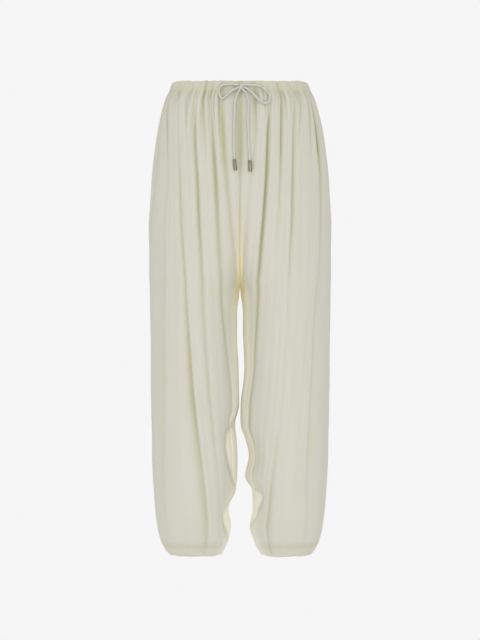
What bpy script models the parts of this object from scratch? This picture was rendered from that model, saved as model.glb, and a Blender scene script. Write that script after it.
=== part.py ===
"""Drawstring trousers with a gathered waist, a low crotch and balloon legs, in their worn, hollow form.

Metres, +Z up. The wearer faces -Y, so the wearer's left is +X. The origin is the middle of the waist opening,
at the height of the drawstring.
"""
import math
from collections import namedtuple

import bmesh
import bpy
import numpy as np
from mathutils import Matrix, Vector

# Driving dimensions, in metres
WALL = 0.0012
CASING_WALL = 0.0028
CASING_PUFF = 0.0010
SEAM_GAP = 0.0003
SEAM_PULL = 0.0002
TIP_GAP = 0.0006
LEG_GAP = 0.0010
CASING_TOP = 0.012
CASING_BOTTOM = -0.010
WAIST_TILT = 0.14
TILT_ENDS = 0.30
CROTCH_DROP = 0.4454
HEM_TOP = 1.0080
HEM_BOTTOM = 1.0320
HEM_WALL = 0.0024
CORD_DIAMETER = 0.0050
CORD_STEP = 2 * CORD_DIAMETER
TIP_DIAMETER = 0.0076
TIP_LENGTH = 0.0235
TIP_BEVEL = 0.0010
SHARP_ANGLE = math.radians(50)

# Where the cloth lies, by its drop below the waist line. outer is the half width at the side, and right_in and
# left_in are each leg's inner seam, which the bunched cloth moves away from the middle by right_bunch_mm and
# left_bunch_mm. centre is how deep the centre seam lies, as a share of front or back. gather is how deep the folds
# are there, as a share of their full depth. The side seams are given in degrees forward of the side.
Section = namedtuple(
    "Section",
    "drop outer right_in left_in right_bunch_mm left_bunch_mm centre front back gather right_seam left_seam",
)
SECTIONS = [
    Section(-0.012, 0.150, 0.0, 0.0, 0, 0, 1.00, 0.098, 0.097, 0.50, 8, 18),
    Section(0.000, 0.153, 0.0, 0.0, 0, 0, 1.00, 0.100, 0.099, 0.50, 8, 19),
    Section(0.010, 0.157, 0.0, 0.0, 0, 0, 1.00, 0.102, 0.102, 0.58, 8, 20),
    Section(0.026, 0.165, 0.0, 0.0, 0, 0, 1.00, 0.106, 0.108, 0.75, 9, 20),
    Section(0.052, 0.173, 0.0, 0.0, 0, 0, 1.00, 0.113, 0.118, 0.92, 11, 21),
    Section(0.092, 0.182, 0.0, 0.0, 0, 0, 1.00, 0.121, 0.132, 1.00, 14, 22.5),
    Section(0.145, 0.190, 0.0, 0.0, 0, 0, 0.995, 0.128, 0.144, 1.00, 17, 24),
    Section(0.200, 0.196, 0.0, 0.0, 0, 0, 0.985, 0.131, 0.150, 1.00, 18, 24.5),
    Section(0.251, 0.199, 0.0, 0.0, 0, 0, 0.965, 0.131, 0.150, 1.00, 16, 26),
    Section(0.310, 0.202, 0.0, 0.0, 0, 0, 0.92, 0.129, 0.146, 1.00, 13, 28),
    Section(0.360, 0.201, 0.0, 0.0, 0, 0, 0.83, 0.127, 0.141, 1.00, 10, 28.5),
    Section(0.400, 0.201, 0.0, 0.0, 0, 0, 0.70, 0.125, 0.137, 1.00, 8, 30),
    Section(0.425, 0.201, 0.0, 0.0, 0, 0, 0.50, 0.123, 0.135, 1.00, 7, 31),
    Section(0.438, 0.200, 0.0, 0.0, 0, 0, 0.28, 0.122, 0.133, 1.00, 7, 31.5),
    Section(CROTCH_DROP, 0.200, 0.0020, 0.0025, 0, 0, 0.0, 0.122, 0.132, 1.00, 6, 32),
    Section(0.516, 0.199, 0.0060, 0.0070, 0.5, 2.0, 0.0, 0.118, 0.124, 1.00, 6, 36),
    Section(0.580, 0.198, 0.0068, 0.0090, 0, 4.0, 0.0, 0.115, 0.119, 1.00, 6, 36.5),
    Section(0.612, 0.198, 0.0072, 0.0100, 0, 4.5, 0.0, 0.114, 0.117, 1.00, 6, 37.5),
    Section(0.645, 0.198, 0.0076, 0.0110, -1.0, 1.5, 0.0, 0.113, 0.115, 1.00, 6, 38.5),
    Section(0.702, 0.197, 0.0084, 0.0125, -2.5, -6.5, 0.0, 0.111, 0.112, 1.00, 6, 39.5),
    Section(0.745, 0.196, 0.0092, 0.0140, 6.0, -8.0, 0.0, 0.110, 0.110, 1.00, 6, 40),
    Section(0.780, 0.195, 0.0100, 0.0155, 1.5, 2.5, 0.0, 0.109, 0.109, 1.00, 6, 41),
    Section(0.810, 0.195, 0.0110, 0.0170, -1.0, 8.0, 0.0, 0.108, 0.108, 1.00, 6, 42),
    Section(0.860, 0.193, 0.0130, 0.0200, -2.5, -4.0, 0.0, 0.106, 0.106, 0.95, 6, 42),
    Section(0.890, 0.191, 0.0150, 0.0225, -1.0, 8.5, 0.0, 0.102, 0.102, 0.90, 6, 42),
    Section(0.930, 0.188, 0.0185, 0.0265, 10.5, 5.5, 0.0, 0.097, 0.097, 0.80, 6, 41.5),
    Section(0.975, 0.182, 0.0225, 0.0295, 0.5, -4.5, 0.0, 0.083, 0.083, 0.65, 6, 41),
    Section(1.000, 0.176, 0.0265, 0.0330, 0.5, -1.0, 0.0, 0.071, 0.071, 0.50, 6, 41),
    Section(1.014, 0.170, 0.0320, 0.0370, 0, 0, 0.0, 0.063, 0.063, 0.40, 6, 41),
    Section(1.026, 0.163, 0.0370, 0.0430, 0, 0, 0.0, 0.057, 0.057, 0.30, 6, 41),
    Section(HEM_BOTTOM, 0.157, 0.0410, 0.0480, 0, 0, 0.0, 0.053, 0.053, 0.25, 6, 41),
]
PANEL_DROPS = [
    -CASING_BOTTOM + SEAM_GAP,
    0.035, 0.070, 0.115, 0.170, 0.240, 0.310, 0.360, 0.400, 0.425, CROTCH_DROP, 0.510,
    0.580, 0.645, 0.702, 0.745, 0.780, 0.810, 0.860, 0.890, 0.930, 0.975, HEM_TOP - SEAM_GAP,
]

# Each row is one valley between two ridges. Its place at the six levels is in degrees round the body, from the
# side (0) to the middle (90), below 0 where the back wraps forward. Its depth at each level is in millimetres.
FOLD_LEVELS = (0.030, 0.112, 0.218, 0.450, 0.693, 0.958)
SEAM_DEPTH = 0.0085
MILLIMETRE = 0.001
Fold = namedtuple(
    "Fold", "waist seat hip thigh knee hem waist_mm seat_mm hip_mm thigh_mm knee_mm hem_mm"
)
RIGHT_FRONT_FOLDS = [
    Fold(76.0, 78.1, 81.5, 87.2, 87.6, 88.2, 9, 10, 6, 3, 1, 1),
    Fold(67.0, 70.9, 74.3, 77.9, 84.6, 86.2, 5, 6, 8, 6, 6, 1),
    Fold(61.0, 64.9, 68.1, 72.3, 78.1, 84.0, 7, 4, 1, 1, 1, 1),
    Fold(54.0, 57.7, 61.6, 65.7, 71.8, 81.4, 2, 9, 9, 5, 3, 1),
    Fold(46.9, 50.7, 55.8, 59.5, 65.3, 76.3, 3, 1, 1, 1, 1, 1),
    Fold(36.0, 42.4, 47.8, 53.2, 59.9, 71.3, 3, 3, 5, 5, 8, 7),
    Fold(29.2, 36.7, 42.6, 45.4, 46.1, 50.6, 1, 1, 1, 1, 1, 1),
    Fold(18.0, 30.0, 36.2, 33.8, 31.4, 27.0, 2, 4, 3, 4, 3, 2),
]
LEFT_FRONT_FOLDS = [
    Fold(78.0, 79.6, 83.2, 87.4, 88.2, 88.5, 5, 5, 3, 4, 1, 1),
    Fold(72.8, 75.3, 77.6, 83.0, 86.5, 87.0, 1, 1, 1, 1, 1, 1),
    Fold(66.6, 70.9, 73.2, 78.4, 84.2, 85.5, 3, 10, 10, 8, 9, 1),
    Fold(61.4, 65.7, 68.1, 73.1, 79.7, 83.9, 2, 1, 1, 1, 1, 1),
    Fold(57.3, 61.0, 63.4, 67.9, 74.9, 82.2, 9, 9, 5, 1, 1, 1),
    Fold(51.5, 56.0, 58.6, 62.6, 69.5, 80.4, 2, 1, 1, 1, 1, 1),
    Fold(43.5, 50.7, 54.2, 57.7, 64.2, 77.8, 7, 6, 7, 3, 2, 8),
    Fold(35.3, 41.8, 47.3, 50.0, 56.6, 68.1, 2, 1, 1, 1, 1, 1),
    Fold(26.6, 33.5, 37.9, 41.6, 47.6, 56.0, 2, 2, 1, 1, 1, 1),
]
RIGHT_BACK_FOLDS = [
    Fold(81.0, 81.6, 82.0, 84.0, 85.5, 86.0, 8, 8, 6, 3, 2, 1),
    Fold(72.5, 73.3, 74.0, 77.5, 80.0, 81.0, 8, 9, 9, 7, 5, 2),
    Fold(64.0, 65.1, 66.0, 70.0, 73.5, 76.0, 6, 6, 2, 1, 1, 1),
    Fold(56.5, 57.6, 58.5, 62.0, 65.5, 70.0, 9, 9, 8, 6, 5, 3),
    Fold(47.5, 48.9, 50.0, 53.0, 57.0, 61.0, 4, 4, 2, 1, 1, 1),
    Fold(38.5, 39.9, 41.0, 44.0, 47.0, 50.0, 8, 8, 8, 5, 7, 6),
    Fold(29.5, 30.3, 31.0, 34.0, 36.0, 38.0, 4, 4, 2, 1, 1, 1),
    Fold(19.5, 20.1, 20.5, 22.0, 23.0, 24.0, 6, 6, 5, 3, 3, 2),
    Fold(8.0, 8.0, 8.0, 9.0, 9.5, 10.0, 3, 3, 2, 1, 1, 1),
]
LEFT_BACK_FOLDS = [
    Fold(80.0, 80.8, 81.5, 84.5, 85.5, 86.0, 7, 7, 7, 4, 2, 1),
    Fold(73.5, 74.6, 75.5, 78.5, 81.0, 82.0, 6, 6, 2, 1, 1, 1),
    Fold(65.5, 66.3, 67.0, 70.5, 73.0, 75.0, 9, 9, 9, 7, 6, 3),
    Fold(55.5, 56.9, 58.0, 61.0, 64.0, 67.0, 4, 4, 2, 1, 1, 1),
    Fold(46.5, 47.9, 49.0, 52.0, 55.0, 58.5, 8, 8, 8, 5, 6, 6),
    Fold(38.0, 39.1, 40.0, 43.0, 45.0, 47.5, 4, 4, 2, 1, 1, 1),
    Fold(29.0, 29.8, 30.5, 33.0, 35.0, 36.5, 7, 7, 6, 4, 4, 3),
    Fold(18.5, 19.3, 20.0, 22.0, 23.5, 24.5, 4, 4, 2, 1, 1, 1),
    Fold(7.5, 8.1, 8.5, 11.0, 11.5, 12.0, 3, 3, 3, 2, 2, 1),
    Fold(-6.0, -7.7, -9.0, -11.5, -14.5, -15.5, 3, 3, 3, 2, 2, 1),
]

# How deep the side seams lie at these drops, in millimetres. The left one is deepest at its pocket mouth.
SIDE_SEAM_DROPS = (0.0, 0.070, 0.120, 0.175, 0.240, 0.450, 0.700, 1.0)
RIGHT_SEAM_MM = (8, 4, 4, 5, 4, 2, 2, 2)
LEFT_SEAM_MM = (8, 10, 12, 9, 6, 3, 3, 3)
RIDGE_STEPS = (0.0, 0.30, 0.70)
VALLEY_SHARPNESS = 3.5

# Where the cloth of a leg is bunched up, a panel falls back behind a curved edge beside the inner leg seam. edges
# are that edge's distances from the middle at the drops, and share is how far the cloth behind it falls back, as a
# share of its own depth.
Notch = namedtuple("Notch", "panel share drops edges")
NOTCHES = [
    Notch(
        "right_front", 0.50, (0.700, 0.722, 0.741, 0.766, 0.7925, 0.821, 0.848, 0.879, 0.895),
        (0.0040, 0.0110, 0.0185, 0.0335, 0.0346, 0.0302, 0.0237, 0.0151, 0.0060),
    ),
    Notch(
        "right_front", 0.50, (0.900, 0.914, 0.932, 0.945, 0.969, 0.989, 1.003),
        (0.0130, 0.0253, 0.0369, 0.0400, 0.0358, 0.0295, 0.0240),
    ),
    Notch(
        "left_front", 0.45, (0.884, 0.892, 0.905, 0.925, 0.945, 0.960),
        (0.0200, 0.0560, 0.0500, 0.0430, 0.0380, 0.0270),
    ),
    Notch(
        "left_back", 0.40, (0.760, 0.790, 0.820, 0.850, 0.880),
        (0.0120, 0.0340, 0.0380, 0.0300, 0.0180),
    ),
    Notch(
        "right_back", 0.40, (0.830, 0.860, 0.890, 0.920, 0.945),
        (0.0090, 0.0300, 0.0400, 0.0350, 0.0180),
    ),
]
NOTCH_WIDTH = 0.0060
BUNCH_REACH = 0.022

Panel = namedtuple("Panel", "name side face folds")
PANELS = [
    Panel("right_front", -1, -1, RIGHT_FRONT_FOLDS),
    Panel("left_front", 1, -1, LEFT_FRONT_FOLDS),
    Panel("right_back", -1, 1, RIGHT_BACK_FOLDS),
    Panel("left_back", 1, 1, LEFT_BACK_FOLDS),
]

# The drawstring's knot, routes and tips. Each route is a list of points chosen by hand, from the knot outwards,
# and a tip continues its tail in the given direction.
KNOT_CENTRE = (0.0030, -0.1048, -0.0145)
KNOT_SIZE = (0.0140, 0.0094, 0.0130)
CORD_ROUTES = {
    "right_bow_loop": [
        (-0.0042, -0.1036, -0.0112), (-0.0190, -0.1028, -0.0100), (-0.0364, -0.0996, -0.0110),
        (-0.0439, -0.1003, -0.0174), (-0.0443, -0.1022, -0.0281), (-0.0396, -0.1042, -0.0399),
        (-0.0321, -0.1057, -0.0377), (-0.0235, -0.1055, -0.0292), (-0.0150, -0.1048, -0.0223),
        (-0.0040, -0.1044, -0.0172),
    ],
    "left_bow_loop": [
        (0.0102, -0.1038, -0.0114), (0.0257, -0.1026, -0.0116), (0.0407, -0.1002, -0.0131),
        (0.0535, -0.0988, -0.0206), (0.0642, -0.1009, -0.0334), (0.0631, -0.1038, -0.0452),
        (0.0556, -0.1066, -0.0516), (0.0449, -0.1087, -0.0474), (0.0364, -0.1080, -0.0392),
        (0.0246, -0.1054, -0.0265), (0.0104, -0.1046, -0.0171),
    ],
    "right_tail": [
        (-0.0001, -0.1048, -0.0211), (-0.0068, -0.1073, -0.0335), (-0.0111, -0.1126, -0.0555),
        (-0.0121, -0.1202, -0.0900), (-0.0126, -0.1272, -0.1330), (-0.0119, -0.1313, -0.1731),
    ],
    "left_tail": [
        (0.0066, -0.1048, -0.0213), (0.0135, -0.1071, -0.0310), (0.0177, -0.1112, -0.0463),
        (0.0181, -0.1164, -0.0680), (0.0172, -0.1210, -0.0900), (0.0183, -0.1282, -0.1330),
        (0.0211, -0.1324, -0.1757),
    ],
}
ROUTE_SAMPLES = 24
TIP_DIRECTIONS = {
    "right_tip": ("right_tail", (0.10, -0.01, -1.0)),
    "left_tip": ("left_tail", (0.02, -0.01, -1.0)),
}


def column(table, name):
    return np.array([getattr(row, name) for row in table], float)


def smooth_between(at, places, values):
    """Values of a smooth curve through the given ones, with no overshoot (monotone cubic)."""
    places, values = np.asarray(places, float), np.asarray(values, float)
    step = np.diff(places)
    slope = np.diff(values) / step
    same_way = slope[:-1] * slope[1:] > 0
    mean = np.zeros(len(slope) - 1)
    mean[same_way] = 2 / (1 / slope[:-1][same_way] + 1 / slope[1:][same_way])
    tangent = np.concatenate([[slope[0]], mean, [slope[-1]]])
    at = np.clip(at, places[0], places[-1])
    i = np.clip(np.searchsorted(places, at, side="right") - 1, 0, len(step) - 1)
    t = (at - places[i]) / step[i]
    rise = (1 + 2 * t) * (1 - t) ** 2 * values[i] + t * t * (3 - 2 * t) * values[i + 1]
    bend = t * (1 - t) ** 2 * tangent[i] - t * t * (1 - t) * tangent[i + 1]
    return rise + step[i] * bend


def section_value(name, drop):
    return smooth_between(drop, column(SECTIONS, "drop"), column(SECTIONS, name))


def fold_rows(panel, drop):
    """A panel's valleys at this drop, with its two seams at the ends: their turns in degrees and their depths."""
    gather = section_value("gather", drop)
    side_seam = section_value("right_seam" if panel.side < 0 else "left_seam", drop)
    seam_mm = RIGHT_SEAM_MM if panel.side < 0 else LEFT_SEAM_MM
    seam_depth = float(smooth_between(drop, SIDE_SEAM_DROPS, seam_mm)) * MILLIMETRE
    turns, depths = [90.0], [SEAM_DEPTH]
    for fold in panel.folds:
        turns.append(float(smooth_between(drop, FOLD_LEVELS, fold[: len(FOLD_LEVELS)])))
        depths.append(float(smooth_between(drop, FOLD_LEVELS, fold[len(FOLD_LEVELS) :])) * MILLIMETRE)
    return np.array(turns + [-panel.face * side_seam]), gather * np.array(depths + [seam_depth])


def ridge_line(panel, drop):
    """Turns round the body in degrees, and how far the cloth there lies below its ridges."""
    turns, depths = fold_rows(panel, drop)
    places, falls = [], []
    for i in range(len(turns) - 1):
        for t in RIDGE_STEPS:
            places.append(turns[i] + t * (turns[i + 1] - turns[i]))
            near = depths[i] * (1 - t) ** VALLEY_SHARPNESS
            far = depths[i + 1] * t ** VALLEY_SHARPNESS
            falls.append(near + far)
    return np.array(places + [turns[-1]]), np.array(falls + [depths[-1]])


def kept_depth(panel, across, drop):
    """The share of its depth that the cloth keeps at this drop, less behind the edge of a notch."""
    kept = np.ones(len(across))
    for notch in NOTCHES:
        if notch.panel == panel.name and notch.drops[0] < drop < notch.drops[-1]:
            edge = smooth_between(drop, notch.drops, notch.edges)
            way = np.clip((edge - across) / NOTCH_WIDTH, 0, 1)
            kept *= 1 - notch.share * way * way * (3 - 2 * way)
    return kept


def panel_row(panel, drop, puff=0.0):
    """One level of a panel: its outer points and the directions in which its wall is thick."""
    places, falls = ridge_line(panel, drop)
    lift = SEAM_DEPTH * section_value("gather", drop)
    outer = section_value("outer", drop) - lift
    leg = "right" if panel.side < 0 else "left"
    inner = section_value(leg + "_in", drop)
    bunch = section_value(leg + "_bunch_mm", drop) * MILLIMETRE
    centre = min(section_value("centre", drop), 1.0)
    half_in = math.sin((math.pi - math.asin(centre)) / 2)
    turn = 2 * np.arcsin(np.clip(math.sqrt(2) * np.sin(np.radians(places) / 2) * half_in, -1, 1))
    half = (outer - inner) / (2 * half_in * half_in)
    middle = outer - half
    forward = panel.face * turn < 0
    depth = np.where(forward, section_value("front", drop), section_value("back", drop)) - lift
    push = lift - falls + puff
    across, along = np.cos(turn) / half, np.sin(turn) / depth
    size = np.hypot(across, along)
    across, along = across / size, along / size
    x = middle + half * np.cos(turn) + push * across
    x += bunch * np.exp(-((x - inner) / BUNCH_REACH) ** 2)
    y = panel.face * (depth * np.sin(turn) + push * along) * kept_depth(panel, x, drop)
    x, y = pull_from_seams(x, y)
    x = np.maximum(x, SEAM_GAP / 2 if drop < CROTCH_DROP else LEG_GAP / 2)
    tilt = WAIST_TILT * float(np.clip(1 - drop / TILT_ENDS, 0, 1)) ** 2
    points = np.stack([panel.side * x, y, -drop + tilt * y], axis=1)
    normals = np.stack([panel.side * across, panel.face * along, np.zeros(len(x))], axis=1)
    return points, normals


def pull_from_seams(x, y):
    """Draws the two end points back along the cloth, which leaves a gap also where a seam lies in a valley."""
    for end, beside in ((0, 1), (-1, -2)):
        reach = math.hypot(x[beside] - x[end], y[beside] - y[end])
        share = SEAM_PULL / reach
        x[end] += share * (x[beside] - x[end])
        y[end] += share * (y[beside] - y[end])
    return x, y


def wall_directions(points, seam_normals):
    """Unit vectors square to the cloth. At the seams both panels share those of the plain form."""
    square = np.cross(np.gradient(points, axis=1), np.gradient(points, axis=0))
    square /= np.linalg.norm(square, axis=2, keepdims=True)
    square *= np.sign((square * seam_normals).sum(axis=2, keepdims=True))
    square[:, [0, -1]] = seam_normals[:, [0, -1]]
    return square


def shell_object(name, outer, inner, closed, material):
    """A wall between two grids of points, closed at its edges. If closed, it runs round to its first column."""
    rows, columns = outer.shape[:2]
    turns = columns if closed else columns - 1
    inner_start = rows * columns
    points = np.concatenate([outer.reshape(-1, 3), inner.reshape(-1, 3)])
    faces = []

    def index(row, col, wall):
        return wall * inner_start + row * columns + col % columns

    for r in range(rows - 1):
        for c in range(turns):
            quad = [index(r, c, 0), index(r + 1, c, 0), index(r + 1, c + 1, 0), index(r, c + 1, 0)]
            for triangle in split_quad(points, quad):
                faces.append(triangle)
                faces.append([i + inner_start for i in reversed(triangle)])
    for c in range(turns):
        last = rows - 1
        faces.append([index(0, c, 0), index(0, c + 1, 0), index(0, c + 1, 1), index(0, c, 1)])
        faces.append([index(last, c + 1, 0), index(last, c, 0), index(last, c, 1), index(last, c + 1, 1)])
    if not closed:
        for r in range(rows - 1):
            faces.append([index(r + 1, 0, 0), index(r, 0, 0), index(r, 0, 1), index(r + 1, 0, 1)])
            end = columns - 1
            faces.append([index(r, end, 0), index(r + 1, end, 0), index(r + 1, end, 1), index(r, end, 1)])
    mesh = bpy.data.meshes.new(name)
    mesh.from_pydata(points.tolist(), [], faces)
    mesh.validate()
    bpy.context.scene.collection.objects.link(bpy.data.objects.new(name, mesh))
    face_outwards(mesh)
    mesh.shade_smooth()
    mesh.set_sharp_from_angle(angle=SHARP_ANGLE)
    mesh.materials.append(material)


def split_quad(points, quad):
    """Two triangles across the shorter diagonal. The two sides of a wall share it, so they stay apart."""
    a, b, c, d = quad
    if np.linalg.norm(points[a] - points[c]) <= np.linalg.norm(points[b] - points[d]):
        return [a, b, c], [a, c, d]
    return [a, b, d], [b, c, d]


def face_outwards(mesh):
    """Turns a closed mesh's faces round if they enclose a negative volume."""
    mesh.calc_loop_triangles()
    points = np.array([v.co for v in mesh.vertices], float)
    corners = points[np.array([t.vertices for t in mesh.loop_triangles])]
    if np.linalg.det(corners).sum() < 0:
        mesh.flip_normals()


def make_panel(panel, material):
    rows = [panel_row(panel, drop) for drop in PANEL_DROPS]
    outer = np.array([points for points, _ in rows])
    plain = np.array([normals for _, normals in rows])
    inner = outer - WALL * wall_directions(outer, plain)
    # The legs' inner walls stay on their own side of the middle
    side = np.sign(panel.side)
    inner[..., 0] = side * np.maximum(side * inner[..., 0], SEAM_GAP / 2)
    shell_object(panel.name, outer, inner, False, material)


def ring_row(parts, drop, puff):
    """The panels' points at one level, as one ring. Each part is a panel and whether it runs backwards."""
    points, normals = [], []
    for panel, backwards in parts:
        some, square = panel_row(panel, drop, puff)
        order = slice(None, 0, -1) if backwards else slice(0, -1)
        points.append(some[order])
        normals.append(square[order])
    return np.concatenate(points), np.concatenate(normals)


def make_band(name, parts, levels, wall, material):
    """A closed band of cloth round the waist or a hem. levels are pairs of a drop and how far it puffs out."""
    rows = [ring_row(parts, drop, puff) for drop, puff in levels]
    outer = np.array([points for points, _ in rows])
    plain = np.array([normals for _, normals in rows])
    shell_object(name, outer, outer - wall * plain, True, material)


def make_waist_casing(material):
    right_front, left_front, right_back, left_back = PANELS
    parts = [(left_front, False), (left_back, True), (right_back, False), (right_front, True)]
    middle = -(CASING_TOP + CASING_BOTTOM) / 2
    levels = [(-CASING_TOP, 0.0), (middle, CASING_PUFF), (-CASING_BOTTOM, 0.0)]
    make_band("waist_casing", parts, levels, CASING_WALL, material)


def make_hem_bands(material):
    right_front, left_front, right_back, left_back = PANELS
    levels = [(HEM_TOP, 0.0), ((HEM_TOP + HEM_BOTTOM) / 2, 0.0), (HEM_BOTTOM, 0.0)]
    for name, front, back in (
        ("right_hem_band", right_front, right_back),
        ("left_hem_band", left_front, left_back),
    ):
        make_band(name, [(front, False), (back, True)], levels, HEM_WALL, material)


def smooth_route(route, step):
    """Evenly spaced points on a smooth curve (Catmull-Rom) through the route's own points."""
    route = [Vector(point) for point in route]
    route = [2 * route[0] - route[1], *route, 2 * route[-1] - route[-2]]
    fine = []
    for i in range(1, len(route) - 2):
        before, start, end, after = route[i - 1 : i + 3]
        for t in np.linspace(0, 1, ROUTE_SAMPLES, endpoint=False):
            bend = 2 * before - 5 * start + 4 * end - after
            twist = 3 * start - before - 3 * end + after
            fine.append((2 * start + (end - before) * t + bend * t * t + twist * t ** 3) / 2)
    fine = np.array([*fine, route[-2]])
    along = np.concatenate([[0], np.cumsum(np.linalg.norm(np.diff(fine, axis=0), axis=1))])
    count = max(2, round(along[-1] / step) + 1)
    even = np.linspace(0, along[-1], count)
    return np.stack([np.interp(even, along, fine[:, axis]) for axis in range(3)], axis=1)


def make_cord(name, route, material):
    curve = bpy.data.curves.new(name, "CURVE")
    curve.dimensions = "3D"
    curve.bevel_depth = CORD_DIAMETER / 2
    curve.bevel_resolution = 2
    curve.use_fill_caps = True
    points = smooth_route(route, CORD_STEP)
    spline = curve.splines.new("POLY")
    spline.points.add(len(points) - 1)
    for spline_point, point in zip(spline.points, points):
        spline_point.co = (*point, 1.0)
    curve.materials.append(material)
    bpy.context.scene.collection.objects.link(bpy.data.objects.new(name, curve))


def make_knot(material):
    mesh = bpy.data.meshes.new("drawstring_knot")
    form = bmesh.new()
    shape = Matrix.Diagonal((*KNOT_SIZE, 1))
    bmesh.ops.create_uvsphere(form, u_segments=14, v_segments=8, radius=0.5, matrix=shape)
    form.to_mesh(mesh)
    form.free()
    mesh.shade_smooth()
    mesh.materials.append(material)
    knot = bpy.data.objects.new("drawstring_knot", mesh)
    knot.location = KNOT_CENTRE
    bpy.context.scene.collection.objects.link(knot)


def make_tip(name, material):
    """A rounded metal cylinder, which hangs just below the end of its tail."""
    tail, direction = TIP_DIRECTIONS[name]
    direction = Vector(direction).normalized()
    mesh = bpy.data.meshes.new(name)
    form = bmesh.new()
    radius = TIP_DIAMETER / 2
    bmesh.ops.create_cone(form, cap_ends=True, segments=16, radius1=radius, radius2=radius, depth=TIP_LENGTH)
    rims = [edge for edge in form.edges if abs(edge.verts[0].co.z - edge.verts[1].co.z) < radius / 100]
    bmesh.ops.bevel(form, geom=rims, offset=TIP_BEVEL, segments=2, profile=0.5, affect="EDGES")
    form.to_mesh(mesh)
    form.free()
    mesh.shade_smooth()
    mesh.set_sharp_from_angle(angle=SHARP_ANGLE)
    mesh.materials.append(material)
    tip = bpy.data.objects.new(name, mesh)
    tip.location = Vector(CORD_ROUTES[tail][-1]) + (TIP_GAP + TIP_LENGTH / 2) * direction
    tip.rotation_euler = direction.to_track_quat("-Z", "Y").to_euler()
    bpy.context.scene.collection.objects.link(tip)


def make_material(name, colour, roughness, metallic=0.0):
    material = bpy.data.materials.new(name)
    material.use_nodes = True
    shader = material.node_tree.nodes["Principled BSDF"]
    shader.inputs["Base Color"].default_value = (*colour, 1.0)
    shader.inputs["Roughness"].default_value = roughness
    shader.inputs["Metallic"].default_value = metallic
    return material


def main():
    for obj in list(bpy.data.objects):
        bpy.data.objects.remove(obj)
    cloth = make_material("ivory_cloth", (0.72, 0.69, 0.60), 0.7)
    cord = make_material("ivory_cord", (0.74, 0.72, 0.66), 0.6)
    metal = make_material("brushed_metal", (0.33, 0.31, 0.25), 0.4, metallic=1.0)
    for panel in PANELS:
        make_panel(panel, cloth)
    make_waist_casing(cloth)
    make_hem_bands(cloth)
    make_knot(cord)
    for name, route in CORD_ROUTES.items():
        make_cord(name, route, cord)
    for name in TIP_DIRECTIONS:
        make_tip(name, metal)


main()
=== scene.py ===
"""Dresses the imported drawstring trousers: ivory cloth with its folds, gathers and stitching, the drawstring
with its bow and metal ends, and a plain studio. Metres, +Z up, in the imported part's own frame. The wearer
faces -Y, so the wearer's left is +X."""
import math
from collections import namedtuple

import bmesh
import bpy
import numpy as np
from bpy.props import FloatProperty, FloatVectorProperty, PointerProperty
from mathutils import Matrix, Vector


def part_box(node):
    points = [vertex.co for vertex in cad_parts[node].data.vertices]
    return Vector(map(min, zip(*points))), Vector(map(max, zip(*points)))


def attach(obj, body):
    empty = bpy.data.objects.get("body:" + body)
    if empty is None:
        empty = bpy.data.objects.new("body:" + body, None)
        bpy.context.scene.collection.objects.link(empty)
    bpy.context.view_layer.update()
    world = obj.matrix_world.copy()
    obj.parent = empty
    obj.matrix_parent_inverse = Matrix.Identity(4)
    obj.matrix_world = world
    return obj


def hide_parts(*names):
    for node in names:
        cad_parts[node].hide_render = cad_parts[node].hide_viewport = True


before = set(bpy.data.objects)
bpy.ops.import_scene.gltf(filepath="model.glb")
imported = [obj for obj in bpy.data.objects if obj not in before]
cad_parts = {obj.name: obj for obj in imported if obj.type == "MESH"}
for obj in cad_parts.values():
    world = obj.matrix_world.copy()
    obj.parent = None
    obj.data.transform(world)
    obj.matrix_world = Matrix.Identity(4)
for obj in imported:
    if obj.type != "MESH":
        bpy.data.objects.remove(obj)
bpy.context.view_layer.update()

bl_info = {
    "name": "Drawstring trousers",
    "version": (1, 0, 0),
    "blender": (4, 5, 0),
    "location": "3D View > Sidebar > Trousers",
    "description": "Cloth, drawstring and studio for gathered drawstring trousers",
    "category": "Add Mesh",
}

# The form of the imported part. A drop is a distance below the waist line, and the casing's top lies above it.
LEG_GAP = 0.0010
WAIST_TILT = 0.14
TILT_ENDS = 0.30
CASING_TOP = 0.012
CASING_BOTTOM = 0.010
CROTCH_DROP = 0.4454
HEM_TOP = 1.0080
HEM_BOTTOM = 1.0320
SEAM_DEPTH = 0.0085
MILLIMETRE = 0.001

# The gap left here between the leg panels and the bands, and between the legs at the centre seam
JOINT_GAP = 0.00005

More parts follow.
